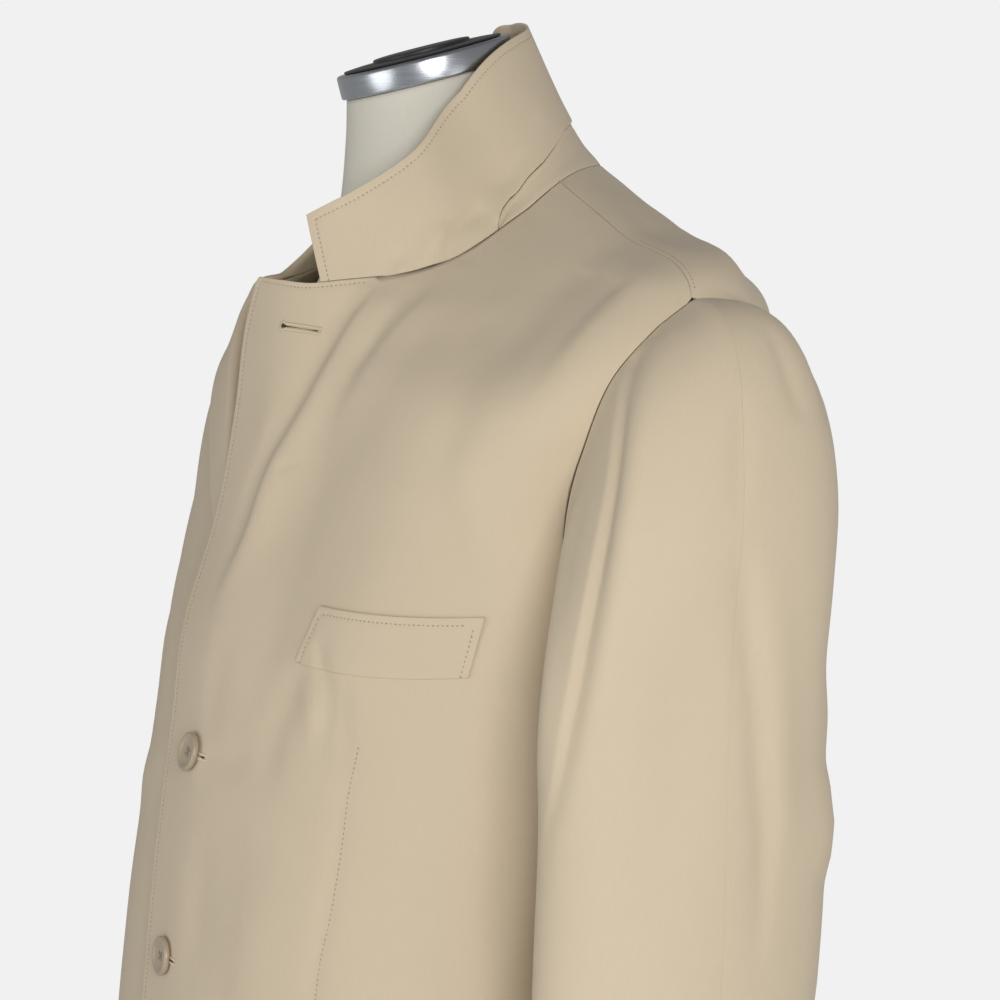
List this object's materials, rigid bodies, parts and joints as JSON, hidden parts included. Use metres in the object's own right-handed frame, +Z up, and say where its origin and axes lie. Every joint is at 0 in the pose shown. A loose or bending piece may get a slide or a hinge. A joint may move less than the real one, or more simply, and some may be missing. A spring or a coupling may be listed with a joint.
{
  "type": "blazer on a dress form",
  "caption": "Single-breasted cotton blazer with a turned-up collar and a breast welt pocket, worn by a limbless dress form on a round base.",
  "frame": {"origin": "centre of the base's underside, on the floor", "axes": "+Z up, -Y the garment's front, +X the wearer's left"},
  "size_m": [0.5802, 0.3526, 1.0307],
  "materials": {
    "beige_cloth": "matt cotton twill",
    "button": "tone on tone, satin",
    "canvas": "off-white woven cover",
    "chrome_ring": "brushed bright",
    "dark_cap": "matt",
    "dark_metal": "satin"
  },
  "bodies": {
    "root": {"front_left": "beige_cloth", "front_right": "beige_cloth", "back_left": "beige_cloth", "back_right": "beige_cloth", "sleeve_left": "beige_cloth", "sleeve_right": "beige_cloth", "collar": "beige_cloth", "collar_stand": "beige_cloth", "breast_welt": "beige_cloth", "button_1": "button", "button_2": "button", "button_3": "button", "form_torso": "canvas", "neck_ring": "chrome_ring", "neck_cap": "dark_cap", "pole": "dark_metal", "base": "dark_metal"}
  },
  "joints": []
}
